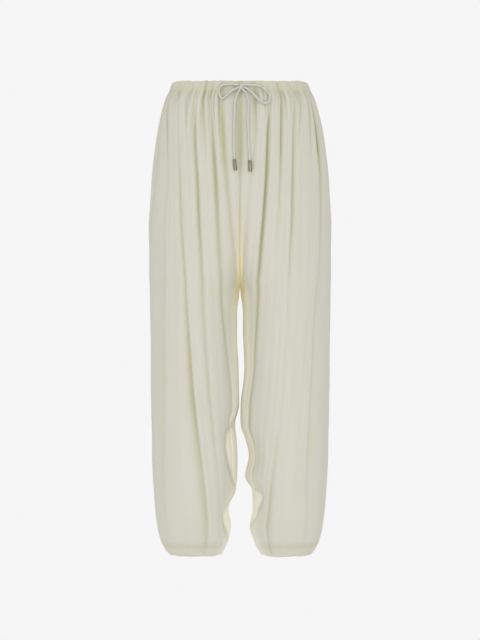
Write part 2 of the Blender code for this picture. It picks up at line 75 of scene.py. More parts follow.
# Where the cloth lies at each drop. outer is the half width at the side, and right_in and left_in are each
# leg's inner seam, which the bunched cloth moves away from the middle by right_bunch_mm and left_bunch_mm.
# centre is how deep the centre seam lies, as a share of front or back. gather is how deep the folds are
# there, as a share of their full depth. The side seams are given in degrees forward of the side.
Section = namedtuple(
    "Section",
    "drop outer right_in left_in right_bunch_mm left_bunch_mm centre front back gather right_seam left_seam",
)
SECTIONS = [Section(*row) for row in (
    (-0.012, 0.150, 0.0, 0.0, 0, 0, 1.00, 0.098, 0.097, 0.50, 8, 18),
    (0.000, 0.153, 0.0, 0.0, 0, 0, 1.00, 0.100, 0.099, 0.50, 8, 19),
    (0.010, 0.157, 0.0, 0.0, 0, 0, 1.00, 0.102, 0.102, 0.58, 8, 20),
    (0.026, 0.165, 0.0, 0.0, 0, 0, 1.00, 0.106, 0.108, 0.75, 9, 20),
    (0.052, 0.173, 0.0, 0.0, 0, 0, 1.00, 0.113, 0.118, 0.92, 11, 21),
    (0.092, 0.182, 0.0, 0.0, 0, 0, 1.00, 0.121, 0.132, 1.00, 14, 22.5),
    (0.145, 0.190, 0.0, 0.0, 0, 0, 0.995, 0.128, 0.144, 1.00, 17, 24),
    (0.200, 0.196, 0.0, 0.0, 0, 0, 0.985, 0.131, 0.150, 1.00, 18, 24.5),
    (0.251, 0.199, 0.0, 0.0, 0, 0, 0.965, 0.131, 0.150, 1.00, 16, 26),
    (0.310, 0.202, 0.0, 0.0, 0, 0, 0.92, 0.129, 0.146, 1.00, 13, 28),
    (0.360, 0.201, 0.0, 0.0, 0, 0, 0.83, 0.127, 0.141, 1.00, 10, 28.5),
    (0.400, 0.201, 0.0, 0.0, 0, 0, 0.70, 0.125, 0.137, 1.00, 8, 30),
    (0.425, 0.201, 0.0, 0.0, 0, 0, 0.50, 0.123, 0.135, 1.00, 7, 31),
    (0.438, 0.200, 0.0, 0.0, 0, 0, 0.28, 0.122, 0.133, 1.00, 7, 31.5),
    (CROTCH_DROP, 0.200, 0.0020, 0.0025, 0, 0, 0.0, 0.122, 0.132, 1.00, 6, 32),
    (0.516, 0.199, 0.0060, 0.0070, 0.5, 2.0, 0.0, 0.118, 0.124, 1.00, 6, 36),
    (0.580, 0.198, 0.0068, 0.0090, 0, 4.0, 0.0, 0.115, 0.119, 1.00, 6, 36.5),
    (0.612, 0.198, 0.0072, 0.0100, 0, 4.5, 0.0, 0.114, 0.117, 1.00, 6, 37.5),
    (0.645, 0.198, 0.0076, 0.0110, -1.0, 1.5, 0.0, 0.113, 0.115, 1.00, 6, 38.5),
    (0.702, 0.197, 0.0084, 0.0125, -2.5, -6.5, 0.0, 0.111, 0.112, 1.00, 6, 39.5),
    (0.745, 0.196, 0.0092, 0.0140, 6.0, -8.0, 0.0, 0.110, 0.110, 1.00, 6, 40),
    (0.780, 0.195, 0.0100, 0.0155, 1.5, 2.5, 0.0, 0.109, 0.109, 1.00, 6, 41),
    (0.810, 0.195, 0.0110, 0.0170, -1.0, 8.0, 0.0, 0.108, 0.108, 1.00, 6, 42),
    (0.860, 0.193, 0.0130, 0.0200, -2.5, -4.0, 0.0, 0.106, 0.106, 0.95, 6, 42),
    (0.890, 0.191, 0.0150, 0.0225, -1.0, 8.5, 0.0, 0.102, 0.102, 0.90, 6, 42),
    (0.930, 0.188, 0.0185, 0.0265, 10.5, 5.5, 0.0, 0.097, 0.097, 0.80, 6, 41.5),
    (0.975, 0.182, 0.0225, 0.0295, 0.5, -4.5, 0.0, 0.083, 0.083, 0.65, 6, 41),
    (1.000, 0.176, 0.0265, 0.0330, 0.5, -1.0, 0.0, 0.071, 0.071, 0.50, 6, 41),
    (1.014, 0.170, 0.0320, 0.0370, 0, 0, 0.0, 0.063, 0.063, 0.40, 6, 41),
    (1.026, 0.163, 0.0370, 0.0430, 0, 0, 0.0, 0.057, 0.057, 0.30, 6, 41),
    (HEM_BOTTOM, 0.157, 0.0410, 0.0480, 0, 0, 0.0, 0.053, 0.053, 0.25, 6, 41),
)]

# Each row is one valley between two ridges. First come its places at the drops of the six levels, in degrees
# round the body from the side (0) to the middle (90), below 0 where the back wraps forward. Then come its
# depths there in millimetres.
FOLD_LEVELS = (0.030, 0.112, 0.218, 0.450, 0.693, 0.958)
RIGHT_FRONT_FOLDS = [
    (76.0, 78.1, 81.5, 87.2, 87.6, 88.2, 9, 10, 6, 3, 1, 1),
    (67.0, 70.9, 74.3, 77.9, 84.6, 86.2, 5, 6, 8, 6, 6, 1),
    (61.0, 64.9, 68.1, 72.3, 78.1, 84.0, 7, 4, 1, 1, 1, 1),
    (54.0, 57.7, 61.6, 65.7, 71.8, 81.4, 2, 9, 9, 5, 3, 1),
    (46.9, 50.7, 55.8, 59.5, 65.3, 76.3, 3, 1, 1, 1, 1, 1),
    (36.0, 42.4, 47.8, 53.2, 59.9, 71.3, 3, 3, 5, 5, 8, 7),
    (29.2, 36.7, 42.6, 45.4, 46.1, 50.6, 1, 1, 1, 1, 1, 1),
    (18.0, 30.0, 36.2, 33.8, 31.4, 27.0, 2, 4, 3, 4, 3, 2),
]
LEFT_FRONT_FOLDS = [
    (78.0, 79.6, 83.2, 87.4, 88.2, 88.5, 5, 5, 3, 4, 1, 1),
    (72.8, 75.3, 77.6, 83.0, 86.5, 87.0, 1, 1, 1, 1, 1, 1),
    (66.6, 70.9, 73.2, 78.4, 84.2, 85.5, 3, 10, 10, 8, 9, 1),
    (61.4, 65.7, 68.1, 73.1, 79.7, 83.9, 2, 1, 1, 1, 1, 1),
    (57.3, 61.0, 63.4, 67.9, 74.9, 82.2, 9, 9, 5, 1, 1, 1),
    (51.5, 56.0, 58.6, 62.6, 69.5, 80.4, 2, 1, 1, 1, 1, 1),
    (43.5, 50.7, 54.2, 57.7, 64.2, 77.8, 7, 6, 7, 3, 2, 8),
    (35.3, 41.8, 47.3, 50.0, 56.6, 68.1, 2, 1, 1, 1, 1, 1),
    (26.6, 33.5, 37.9, 41.6, 47.6, 56.0, 2, 2, 1, 1, 1, 1),
]
RIGHT_BACK_FOLDS = [
    (81.0, 81.6, 82.0, 84.0, 85.5, 86.0, 8, 8, 6, 3, 2, 1),
    (72.5, 73.3, 74.0, 77.5, 80.0, 81.0, 8, 9, 9, 7, 5, 2),
    (64.0, 65.1, 66.0, 70.0, 73.5, 76.0, 6, 6, 2, 1, 1, 1),
    (56.5, 57.6, 58.5, 62.0, 65.5, 70.0, 9, 9, 8, 6, 5, 3),
    (47.5, 48.9, 50.0, 53.0, 57.0, 61.0, 4, 4, 2, 1, 1, 1),
    (38.5, 39.9, 41.0, 44.0, 47.0, 50.0, 8, 8, 8, 5, 7, 6),
    (29.5, 30.3, 31.0, 34.0, 36.0, 38.0, 4, 4, 2, 1, 1, 1),
    (19.5, 20.1, 20.5, 22.0, 23.0, 24.0, 6, 6, 5, 3, 3, 2),
    (8.0, 8.0, 8.0, 9.0, 9.5, 10.0, 3, 3, 2, 1, 1, 1),
]
LEFT_BACK_FOLDS = [
    (80.0, 80.8, 81.5, 84.5, 85.5, 86.0, 7, 7, 7, 4, 2, 1),
    (73.5, 74.6, 75.5, 78.5, 81.0, 82.0, 6, 6, 2, 1, 1, 1),
    (65.5, 66.3, 67.0, 70.5, 73.0, 75.0, 9, 9, 9, 7, 6, 3),
    (55.5, 56.9, 58.0, 61.0, 64.0, 67.0, 4, 4, 2, 1, 1, 1),
    (46.5, 47.9, 49.0, 52.0, 55.0, 58.5, 8, 8, 8, 5, 6, 6),
    (38.0, 39.1, 40.0, 43.0, 45.0, 47.5, 4, 4, 2, 1, 1, 1),
    (29.0, 29.8, 30.5, 33.0, 35.0, 36.5, 7, 7, 6, 4, 4, 3),
    (18.5, 19.3, 20.0, 22.0, 23.5, 24.5, 4, 4, 2, 1, 1, 1),
    (7.5, 8.1, 8.5, 11.0, 11.5, 12.0, 3, 3, 3, 2, 2, 1),
    (-6.0, -7.7, -9.0, -11.5, -14.5, -15.5, 3, 3, 3, 2, 2, 1),
]

# How deep the side seams lie at these drops, in millimetres. The left one is deepest at its pocket mouth.
SIDE_SEAM_DROPS = (0.0, 0.070, 0.120, 0.175, 0.240, 0.450, 0.700, 1.0)
SIDE_SEAM_MM = {
    "right": (8, 4, 4, 5, 4, 2, 2, 2),
    "left": (8, 10, 12, 9, 6, 3, 3, 3),
}

# The least distance of a leg from the middle at these drops: the legs part in a narrow gap below the crotch
PARTING_DROPS = (CROTCH_DROP - 0.006, 0.465, 0.495, 0.560, 0.640)
PARTING = (JOINT_GAP / 2, 0.0022, 0.0062, 0.0062, LEG_GAP / 2)

# How deep the centre seam lies at these drops, as a share of its full depth
CENTRE_SEAM_DROPS = (0.150, 0.250, 0.400, 0.440)
CENTRE_SEAM = (1.0, 0.35, 0.35, 1.0)

# Where the cloth of a leg is bunched up, a panel falls back behind a curved edge beside the inner leg seam.
# edges are that edge's distances from the middle at the drops, and share is how far the cloth behind it falls
# back, as a share of its own depth.
Notch = namedtuple("Notch", "panel share drops edges")
NOTCHES = [
    Notch(
        "right_front", 0.50, (0.700, 0.722, 0.741, 0.766, 0.7925, 0.821, 0.848, 0.879, 0.895),
        (0.0040, 0.0110, 0.0185, 0.0335, 0.0346, 0.0302, 0.0237, 0.0151, 0.0060),
    ),
    Notch(
        "right_front", 0.50, (0.900, 0.914, 0.932, 0.945, 0.969, 0.989, 1.003),
        (0.0130, 0.0253, 0.0369, 0.0400, 0.0358, 0.0295, 0.0240),
    ),
    Notch(
        "left_front", 0.40, (0.878, 0.888, 0.898, 0.912, 0.930, 0.950, 0.964),
        (0.0200, 0.0400, 0.0530, 0.0500, 0.0430, 0.0370, 0.0260),
    ),
    Notch(
        "left_back", 0.40, (0.760, 0.790, 0.820, 0.850, 0.880),
        (0.0120, 0.0340, 0.0380, 0.0300, 0.0180),
    ),
    Notch(
        "right_back", 0.40, (0.830, 0.860, 0.890, 0.920, 0.945),
        (0.0090, 0.0300, 0.0400, 0.0350, 0.0180),
    ),
]

# How wide the fall at a notch's edge is, and how far the bunched cloth reaches from the inner seam
NOTCH_WIDTH = 0.0040
BUNCH_REACH = 0.022

# The flat cut of a front and a back panel, without seam allowances: greatest width, length and area
Cut = namedtuple("Cut", "width length area")
FRONT_CUT = Cut(0.29, 1.02, 0.235)
BACK_CUT = Cut(0.46, 1.03, 0.395)

# side is -1 at the right and 1 at the left, and face is -1 in front and 1 at the back
Panel = namedtuple("Panel", "name leg side face cut folds seed")
RIGHT_FRONT = Panel("right_front", "right", -1, -1, FRONT_CUT, RIGHT_FRONT_FOLDS, 11)
LEFT_FRONT = Panel("left_front", "left", 1, -1, FRONT_CUT, LEFT_FRONT_FOLDS, 12)
RIGHT_BACK = Panel("right_back", "right", -1, 1, BACK_CUT, RIGHT_BACK_FOLDS, 13)
LEFT_BACK = Panel("left_back", "left", 1, 1, BACK_CUT, LEFT_BACK_FOLDS, 14)
PANELS = (RIGHT_FRONT, LEFT_FRONT, RIGHT_BACK, LEFT_BACK)

# The drawstring as the imported part has it: the knot, and the routes from it through the points listed
KNOT_CENTRE = (0.0030, -0.1048, -0.0145)
CORD_ROUTES = {
    "right_bow_loop": [
        (-0.0042, -0.1036, -0.0112), (-0.0190, -0.1028, -0.0100), (-0.0364, -0.0996, -0.0110),
        (-0.0439, -0.1003, -0.0174), (-0.0443, -0.1022, -0.0281), (-0.0396, -0.1042, -0.0399),
        (-0.0321, -0.1057, -0.0377), (-0.0235, -0.1055, -0.0292), (-0.0150, -0.1048, -0.0223),
        (-0.0040, -0.1044, -0.0172),
    ],
    "left_bow_loop": [
        (0.0102, -0.1038, -0.0114), (0.0257, -0.1026, -0.0116), (0.0407, -0.1002, -0.0131),
        (0.0535, -0.0988, -0.0206), (0.0642, -0.1009, -0.0334), (0.0631, -0.1038, -0.0452),
        (0.0556, -0.1066, -0.0516), (0.0449, -0.1087, -0.0474), (0.0364, -0.1080, -0.0392),
        (0.0246, -0.1054, -0.0265), (0.0104, -0.1046, -0.0171),
    ],
    "right_tail": [
        (-0.0001, -0.1048, -0.0211), (-0.0068, -0.1073, -0.0335), (-0.0111, -0.1126, -0.0555),
        (-0.0121, -0.1202, -0.0900), (-0.0126, -0.1272, -0.1330), (-0.0119, -0.1313, -0.1731),
    ],
    "left_tail": [
        (0.0066, -0.1048, -0.0213), (0.0135, -0.1071, -0.0310), (0.0177, -0.1112, -0.0463),
        (0.0181, -0.1164, -0.0680), (0.0172, -0.1210, -0.0900), (0.0183, -0.1282, -0.1330),
        (0.0211, -0.1324, -0.1757),
    ],
}
TIP_DIRECTIONS = {
    "right_tip": ("right_tail", (0.10, -0.01, -1.0)),
    "left_tip": ("left_tail", (0.02, -0.01, -1.0)),
}


# Settings that a user can change in the sidebar

def length_setting(name, description, metres):
    return FloatProperty(name=name, description=description, default=metres, unit="LENGTH")


def share_setting(name, description, share):
    return FloatProperty(name=name, description=description, default=share, subtype="FACTOR")


def power_setting(name, description, watts):
    return FloatProperty(name=name, description=description, default=watts, unit="POWER")


def colour_setting(name, description, colour):
    return FloatVectorProperty(name=name, description=description, default=colour, subtype="COLOR")


class ClothSettings(bpy.types.PropertyGroup):
    wall: length_setting("Cloth wall", "Thickness of the cloth", 0.0008)
    column_spacing: length_setting("Column spacing", "Width of a mesh column on the flat cloth", 0.0013)
    fold_round: share_setting(
        "Fold rounding", "How round a valley's bottom is, as a share of the way to the next", 0.07
    )
    pucker_depth: length_setting("Waist puckers", "Depth of the soft puckers at the waist", 0.0010)
    gather_depth: length_setting("Waist gathers", "Depth of the fine gathers below the casing", 0.0062)
    hem_pucker_depth: length_setting("Hem puckers", "Depth of the soft puckers at the hems", 0.0007)
    crinkle_depth: length_setting("Crinkles", "Depth of the long fine crinkles", 0.0005)
    colour: colour_setting("Cloth", "Colour of the cloth", (0.696, 0.688, 0.630))
    # Painted shade in the folds, the gathers, the crowded cloth and the pocket mouth
    valley_colour: colour_setting("Valleys", "Colour of the cloth deep in its folds", (0.56, 0.548, 0.365))
    # Painted shade in the pocket slit
    slit_colour: colour_setting("Pocket slit", "Colour in the slit of the pocket mouth", (0.30, 0.26, 0.13))
    # Painted light beside the inner leg seams and behind the notches' edges
    glow_colour: colour_setting(
        "Lit through", "Colour of the cloth where light comes through it", (0.97, 0.95, 0.835)
    )
    # Painted warm light along the centre and inner leg seams
    warm_colour: colour_setting(
        "Lit seams", "Colour along the seams where most light comes through", (0.88, 0.79, 0.45)
    )
    light_through: colour_setting(
        "Light through", "Colour of light that passes the cloth", (0.92, 0.86, 0.60)
    )
    thinness: share_setting("Thinness", "Share of the light that passes the cloth", 0.20)


class DrawstringSettings(bpy.types.PropertyGroup):
    diameter: length_setting("Cord diameter", "Thickness of the drawstring", 0.0050)
    knot_turns: FloatProperty(
        name="Knot turns", description="Turns of cord wrapped round the knot", default=2.0
    )
    colour: colour_setting("Cord", "Colour of the drawstring", (0.57, 0.56, 0.505))
    tip_diameter: length_setting("End diameter", "Diameter of the metal ends", 0.0076)
    tip_length: length_setting("End length", "Length of the metal ends", 0.0235)
    tip_colour: colour_setting("Metal", "Colour of the metal ends", (0.30, 0.28, 0.22))


class StitchSettings(bpy.types.PropertyGroup):
    length: length_setting("Stitch", "Length of a stitch", 0.0026)
    gap: length_setting("Gap", "Space between two stitches", 0.0008)
    thread: length_setting("Thread", "Thickness of the thread", 0.0003)
    colour: colour_setting("Thread colour", "Colour of the thread", (0.75, 0.74, 0.67))


class StudioSettings(bpy.types.PropertyGroup):
    distance: length_setting("Camera distance", "From the waist line", 3.5)
    height: length_setting("Camera height", "Above the waist line", -0.516)
    back_power: power_setting("Back light", "Power of the soft light from behind", 45.0)
    key_power: power_setting("Key light", "Power of the soft key light", 12.0)
    low_power: power_setting("Low light", "Power of the light near the floor", 12.0)
    backdrop: colour_setting("Backdrop", "Colour of the floor and backdrop", (0.92, 0.92, 0.92))


# Curves and soft noise

def column(table, name):
    return np.array([getattr(row, name) for row in table], float)


def smooth_between(at, places, values):
    """Values of a smooth curve through the given ones, with no overshoot (monotone cubic)."""
    places, values = np.asarray(places, float), np.asarray(values, float)
    step = np.diff(places)
    slope = np.diff(values) / step
    same_way = slope[:-1] * slope[1:] > 0
    mean = np.zeros(len(slope) - 1)
    mean[same_way] = 2 / (1 / slope[:-1][same_way] + 1 / slope[1:][same_way])
    tangent = np.concatenate([[slope[0]], mean, [slope[-1]]])
    at = np.clip(at, places[0], places[-1])
    i = np.clip(np.searchsorted(places, at, side="right") - 1, 0, len(step) - 1)
    t = (at - places[i]) / step[i]
    rise = (1 + 2 * t) * (1 - t) ** 2 * values[i] + t * t * (3 - 2 * t) * values[i + 1]
    bend = t * (1 - t) ** 2 * tangent[i] - t * t * (1 - t) * tangent[i + 1]
    return rise + step[i] * bend


def section_values(name, drops):
    return smooth_between(drops, column(SECTIONS, "drop"), column(SECTIONS, name))


def soft_noise(across, down, seed):
    """Smooth noise from -1 to 1. One step of across or down is about one bump."""
    lattice = np.random.default_rng(seed).uniform(-1, 1, (256, 256))
    i, j = np.floor(across).astype(int), np.floor(down).astype(int)
    s, t = across - i, down - j
    s, t = s * s * (3 - 2 * s), t * t * (3 - 2 * t)
    i, j = i % 255, j % 255
    top = lattice[i, j] * (1 - s) + lattice[i + 1, j] * s
    bottom = lattice[i, j + 1] * (1 - s) + lattice[i + 1, j + 1] * s
    return top * (1 - t) + bottom * t


def noise_line(at, line, seed):
    """Smooth noise from -1 to 1 along one line of its own."""
    return soft_noise(at, np.full(np.shape(at), line + 0.5), seed)


# The form of the cloth

# How far a valley wanders, in degrees, and how much its depth varies, as a share
FOLD_WANDER = 0.35
FOLD_UNEVEN = 0.30

# Of a valley's depth beyond DEEP, the share DEEP_EASED is left out. Towards a leg's inner seam, over the
# INNER_TURNS, up to INNER_EASED is left out as well, which sets in over LEG_BEGINS round the crotch.
DEEP = 0.0045
DEEP_EASED = 0.45
LEG_BEGINS = 0.10
INNER_TURNS = (72.0, 84.0)
INNER_EASED = 0.60

# The columns of a panel's grid are spread by its width at this drop, at so much cloth for each degree, and at
# least so many of them lie between two valleys
WIDEST_DROP = 0.40
METRES_PER_DEGREE = 0.0029
LEAST_COLUMNS = 8
GridColumns = namedtuple("GridColumns", "span share flat")

# The powers that shape a valley's gentle side and its steep side
GENTLE_FALL = 3.6
STEEP_FALL = 6.5


def fold_lines(panel, drops):
    """The turns of a panel's valleys in degrees and their depths, one row for each drop. Seams are at both
    ends."""
    turns = [np.full(len(drops), 90.0)]
    depths = [SEAM_DEPTH * smooth_between(drops, CENTRE_SEAM_DROPS, CENTRE_SEAM)]
    for number, fold in enumerate(panel.folds):
        places = fold[: len(FOLD_LEVELS)]
        deep = np.array(fold[len(FOLD_LEVELS):]) * MILLIMETRE
        wander = noise_line(drops * 9 + 3, number * 2, panel.seed)
        uneven = noise_line(drops * 6 + 8, number * 2, panel.seed + 50)
        turns.append(smooth_between(drops, FOLD_LEVELS, places) + FOLD_WANDER * wander)
        depths.append(smooth_between(drops, FOLD_LEVELS, deep) * (1 + FOLD_UNEVEN * uneven))
    turns.append(-panel.face * section_values(panel.leg + "_seam", drops))
    depths.append(smooth_between(drops, SIDE_SEAM_DROPS, SIDE_SEAM_MM[panel.leg]) * MILLIMETRE)
    gather = section_values("gather", drops)
    return np.stack(turns, axis=1), np.stack(depths, axis=1) * gather[:, None]


def eased(turns, depths, drops):
    """Depths that shape the cloth: a little less than full in deep valleys and beside the inner leg seams."""
    depths = depths - DEEP_EASED * np.maximum(depths - DEEP, 0)
    inner = np.clip((turns - INNER_TURNS[0]) / (INNER_TURNS[1] - INNER_TURNS[0]), 0, 1) * (turns < 90)
    legs = np.clip((drops - CROTCH_DROP) / LEG_BEGINS + 0.5, 0, 1)[:, None]
    return depths * (1 - INNER_EASED * inner * legs)


def grid_columns(panel, spacing):
    """The columns of a panel's grid. Each has its span between two valleys, its share of the way across it,
    closer together beside the valleys, and its place on the flat cloth."""
    turns, _ = fold_lines(panel, np.array([WIDEST_DROP]))
    widths = np.abs(np.diff(turns[0])) * METRES_PER_DEGREE
    span, share = [], []
    for number, width in enumerate(widths):
        count = max(LEAST_COLUMNS, round(width / spacing))
        steps = np.arange(count) / count
        span.append(np.full(count, number))
        share.append((steps + (1 - np.cos(np.pi * steps)) / 2) / 2)
    span, share = np.concatenate([*span, [len(widths) - 1]]), np.concatenate([*share, [1.0]])
    starts = np.concatenate([[0], np.cumsum(widths)])
    return GridColumns(span, share, starts[span] + share * widths[span])


def round_share(share, rounding):
    """A share of the way across a span that starts off slowly, which rounds the valley there."""
    return (np.sqrt(share ** 2 + rounding ** 2) - rounding) / (math.sqrt(1 + rounding ** 2) - rounding)


def fold_falls(depths, columns, rounding):
    """How far the cloth lies below its ridges, by rows and columns. Each valley is steeper on one side."""
    near = depths[:, columns.span] * (1 - round_share(columns.share, rounding)) ** GENTLE_FALL
    far = depths[:, columns.span + 1] * (1 - round_share(1 - columns.share, rounding)) ** STEEP_FALL
    return near + far


def notch_shares(panel, across, drops):
    """For each notch of a panel, how far the cloth falls back there, and where: 1 well behind its edge and 0
    in front."""
    shares = []
    for notch in NOTCHES:
        if notch.panel == panel.name:
            edge = smooth_between(drops, notch.drops, notch.edges)
            there = (drops > notch.drops[0]) & (drops < notch.drops[-1])
            way = np.clip((edge[:, None] - across) / NOTCH_WIDTH, 0, 1)
            shares.append((notch.share, way * way * (3 - 2 * way) * there[:, None]))
    return shares


def on_the_body(panel, places, drops, push):
    """Points of a panel, the ways out from them and how far they lie behind a notch's edge. places are turns
    in degrees, and push is how far a point lies outside the line of the valleys."""
    def each(name):
        return section_values(name, drops)[:, None]

    lift = SEAM_DEPTH * each("gather")
    outer = each("outer") - lift
    inner = each(panel.leg + "_in")
    half_in = np.sin((math.pi - np.arcsin(np.minimum(each("centre"), 1.0))) / 2)
    turn = 2 * np.arcsin(np.clip(math.sqrt(2) * np.sin(np.radians(places) / 2) * half_in, -1, 1))
    half = (outer - inner) / (2 * half_in * half_in)
    depth = np.where(panel.face * turn < 0, each("front"), each("back")) - lift
    across, along = np.cos(turn) / half, np.sin(turn) / depth
    size = np.hypot(across, along)
    across, along = across / size, along / size
    x = outer - half + half * np.cos(turn) + push * across
    y = panel.face * (depth * np.sin(turn) + push * along)
    x = x + each(panel.leg + "_bunch_mm") * MILLIMETRE * np.exp(-((x - inner) / BUNCH_REACH) ** 2)
    behind = np.zeros(x.shape)
    for share, way in notch_shares(panel, x, drops):
        y = y * (1 - share * way)
        behind = np.maximum(behind, way)
    x = np.maximum(x, smooth_between(drops, PARTING_DROPS, PARTING)[:, None])
    tilt = WAIST_TILT * np.clip(1 - drops[:, None] / TILT_ENDS, 0, 1) ** 2
    points = np.stack([panel.side * x, y, tilt * y - drops[:, None]], axis=2)
    ways_out = np.stack([panel.side * across, panel.face * along, np.zeros(across.shape)], axis=2)
    return points, ways_out, behind


# The drop from which puckers and gathers fade, how far puckers reach from there and from the hems' tops, and
# how far the middle of a leg lies from the middle of the body
FREE_DROP = 0.012
WAIST_REACH = 0.028
HEM_REACH = 0.020
LEG_MIDDLE = 0.1


def puckers(points, drops, cloth):
    """Soft puckers at the waist and the hems, the same on every piece that meets there. They are placed by
    the turn round the body, or round the leg below the crotch."""
    middle = np.where(drops > CROTCH_DROP, LEG_MIDDLE, 0.0)[:, None] * np.sign(points[..., 0])
    around = np.arctan2(points[..., 1], points[..., 0] - middle)
    folds = noise_line(around * 22 + 80, 0, 3) + 0.7 * noise_line(around * 41 + 140, 0, 4)
    waist = np.exp(-(np.maximum(drops - FREE_DROP, 0) / WAIST_REACH) ** 1.3)
    hem = np.exp(-np.abs(drops - HEM_TOP) / HEM_REACH)
    return folds * (cloth.pucker_depth * waist + cloth.hem_pucker_depth * hem)[:, None]


# How far apart the gathers lie, and the least and greatest width, reach, depth and slant of each. The casing
# holds them flatter, by the shares at these drops.
GATHER_SPACING = 0.0105
GATHER_LIMITS = ((0.0014, 0.0030), (0.030, 0.120), (0.35, 1.0), (-0.06, 0.06))
HELD_DROPS = (-CASING_TOP, 0.0, 0.007, 0.015)
HELD = (0.20, 0.20, 0.45, 1.0)


def gathers(panel, columns, drops):
    """The fine valleys that the casing gathers the cloth into, as shares of their greatest depth."""
    chance = np.random.default_rng(panel.seed + 60)
    flat, down = np.broadcast_arrays(columns.flat[None, :], drops[:, None])
    starts = np.arange(GATHER_SPACING * 0.6, columns.flat[-1] - GATHER_SPACING * 0.5, GATHER_SPACING)
    total = np.zeros(flat.shape)
    for start in starts + chance.uniform(-0.4, 0.4, len(starts)) * GATHER_SPACING:
        width, reach, deep, slant = (chance.uniform(*limits) for limits in GATHER_LIMITS)
        there = np.exp(-(np.maximum(down - FREE_DROP, 0) / reach) ** 2)
        total = np.maximum(total, deep * there * np.exp(-((flat - start - slant * down) / width) ** 2))
    return total * smooth_between(drops, HELD_DROPS, HELD)[:, None]


# Crinkles of three sizes: how many lie across and down a metre of cloth, what is added to the panel's seed,
# and their share of the depth. Low down they are shallower, by the shares at these drops.
Crinkle = namedtuple("Crinkle", "across down seed share")
CRINKLES = (Crinkle(95, 5, 20, 0.6), Crinkle(40, 3, 30, 1.0), Crinkle(12, 9, 40, 1.2))
CRINKLE_DROPS = (0.50, 0.80)
CRINKLE_SHARES = (1.0, 0.45)


def crinkles(panel, columns, drops, depth):
    """Long fine crinkles that run down the cloth, fading in and out."""
    flat, down = np.broadcast_arrays(columns.flat[None, :], drops[:, None])
    waves = sum(
        crinkle.share * soft_noise(flat * crinkle.across, down * crinkle.down, panel.seed + crinkle.seed)
        for crinkle in CRINKLES
    )
    return depth * smooth_between(drops, CRINKLE_DROPS, CRINKLE_SHARES)[:, None] * waves


# Painted light: how much lighter the cloth is painted beside the inner leg seams, where light comes through
# it, and how far from them
GLOW_DROPS = (0.435, 0.450, 0.580, 0.700, 0.820, 1.000)
GLOW = (0.0, 1.0, 1.0, 0.90, 0.72, 0.63)
GLOW_WIDTHS = (0.006, 0.011, 0.011, 0.010, 0.011, 0.012)

# Painted warm light: how warm the light is that is painted on along the centre and inner leg seams, where it
# comes through, and how far from them
WARM_DROPS = (0.230, 0.330, 0.400, 0.445, 0.480, 0.640)
WARM = (0.0, 0.60, 0.95, 1.0, 0.40, 0.0)
WARM_WIDTHS = (0.0030, 0.0035, 0.0050, 0.0090, 0.0080, 0.0070)

# Painted shade: how dark the cloth is painted in its valleys, its fine gathers and the left pocket mouth,
# where shade falls
VALLEY_SHADE_DEPTH = 0.0080
VALLEY_SHADE_POWER = 1.6
GATHER_SHADE = 0.52
POCKET_DROPS = (0.040, 0.070, 0.150, 0.185)
POCKET_SHADE = (0.0, 1.0, 1.0, 0.0)
POCKET_WIDTH = 0.0055

# Painted shade in the slit of the left pocket mouth: how dark it is at these drops, how far from the seam and
# how wide
SLIT_DROPS = (0.062, 0.095, 0.142, 0.158)
SLIT_SHADE = (0.0, 1.0, 0.9, 0.0)
SLIT_PLACE = 0.0035
SLIT_WIDTH = 0.0020

# Painted shade where the cloth crowds at the casing and the hem bands: how much darker it is at these drops,
# beside its valleys
CROWDED_SHADE_DROPS = (0.0, 0.012, 0.030, 0.060, 0.140, 0.300, 0.998, 1.006, 1.011, 1.017, HEM_BOTTOM)
CROWDED_SHADE = (0.30, 0.26, 0.03, 0.02, 0.06, 0.03, 0.0, 0.40, 0.40, 0.16, 0.20)

# Gathers and crinkles fade out over this distance from a seam
CALM_WIDTH = 0.010

# valley and slit are shares of painted shade, and glow and warm are shares of painted light
Surface = namedtuple("Surface", "points ways_out flat valley slit glow warm")
PAINTED_LIGHT_AND_SHADE = ("valley", "slit", "glow", "warm")


def beside_inner_edge(panel, across, drops, places, shares, widths):
    """A share at each point that is greatest at the leg's inner edge. shares and widths give it and its width
    at the drops in places."""
    bunch = section_values(panel.leg + "_bunch_mm", drops) * MILLIMETRE
    inner = section_values(panel.leg + "_in", drops) + bunch
    width = smooth_between(drops, places, widths)
    near = np.exp(-((across - inner[:, None]) / width[:, None]) ** 2)
    return smooth_between(drops, places, shares)[:, None] * near


